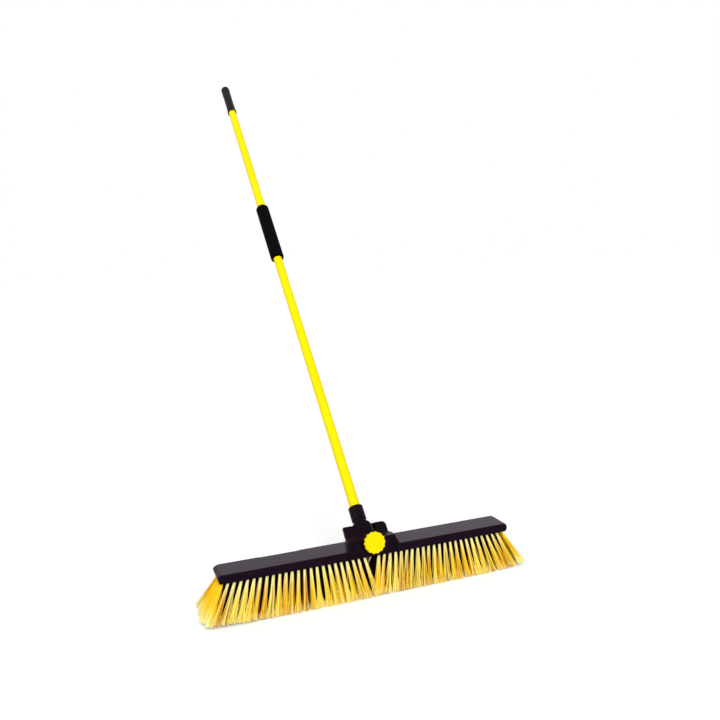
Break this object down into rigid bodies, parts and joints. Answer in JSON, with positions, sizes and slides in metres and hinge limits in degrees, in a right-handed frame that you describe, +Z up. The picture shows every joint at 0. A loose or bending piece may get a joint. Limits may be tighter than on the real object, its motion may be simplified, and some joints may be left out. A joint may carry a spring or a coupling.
{
  "type": "push broom",
  "caption": "Wide floor broom with a long bristled block, a tilting handle bracket locked by a scalloped hand knob, and a tube handle with a foam grip and end cap.",
  "frame": {"origin": "on the floor at the bristle tips, under the middle of the block", "axes": "+Z up from the floor, +X along the block, +Y towards the back, where the handle leans"},
  "size_m": [0.676, 1.1768, 1.2148],
  "materials": {
    "block_plastic": "moulded, matt",
    "bristle_fibre": "fine filaments, satin",
    "inner_fibre": "fine filaments, satin",
    "bracket_plastic": "moulded, satin",
    "steel": "zinc plated",
    "brass": "turned",
    "shoe_plastic": "natural nylon",
    "knob_plastic": "moulded, satin gloss",
    "tube_paint": "powder coat, satin gloss",
    "grip_foam": "closed cell foam",
    "cap_plastic": "soft vinyl"
  },
  "bodies": {
    "head": {"broom_block": "block_plastic", "front_outer_bristles_left": "bristle_fibre", "front_outer_bristles_right": "bristle_fibre", "back_outer_bristles_left": "bristle_fibre", "back_outer_bristles_right": "bristle_fibre", "end_bristles_left": "bristle_fibre", "end_bristles_right": "bristle_fibre", "front_inner_bristles_left": "inner_fibre", "front_inner_bristles_right": "inner_fibre", "back_inner_bristles_left": "inner_fibre", "back_inner_bristles_right": "inner_fibre", "bracket_base": "bracket_plastic", "hinge_pin": "steel", "pin_retainers": "steel", "pivot_washers": "steel", "thread_insert": "brass", "rear_screws": "steel", "under_screws": "steel"},
    "handle": {"handle_socket": "bracket_plastic", "handle_screw": "steel", "handle_tube": "tube_paint", "foam_grip": "grip_foam", "end_cap": "cap_plastic"},
    "shoe": {"lock_shoe": "shoe_plastic", "knob_washer": "steel"},
    "knob": {"lock_knob": "knob_plastic", "knob_stud": "steel"}
  },
  "joints": [
    {"name": "handle_tilt", "type": "hinge", "parent": "head", "child": "handle", "pos_m": [0, 0.016, 0.1], "axis": [1, 0, 0], "range_deg": [-15, 45]},
    {"name": "shoe_slide", "type": "slide", "parent": "head", "child": "shoe", "axis": [0, -0.9925, 0.1219], "range_m": [0, 0.0025]},
    {"name": "knob_turn", "type": "hinge", "parent": "shoe", "child": "knob", "pos_m": [0, 0.016, 0.1], "axis": [0, -0.9925, 0.1219], "range_deg": [0, 720]}
  ],
  "couplings": [
    {"joint": "shoe_slide", "follows": "knob_turn", "m_per_rad": 0.00019894}
  ]
}
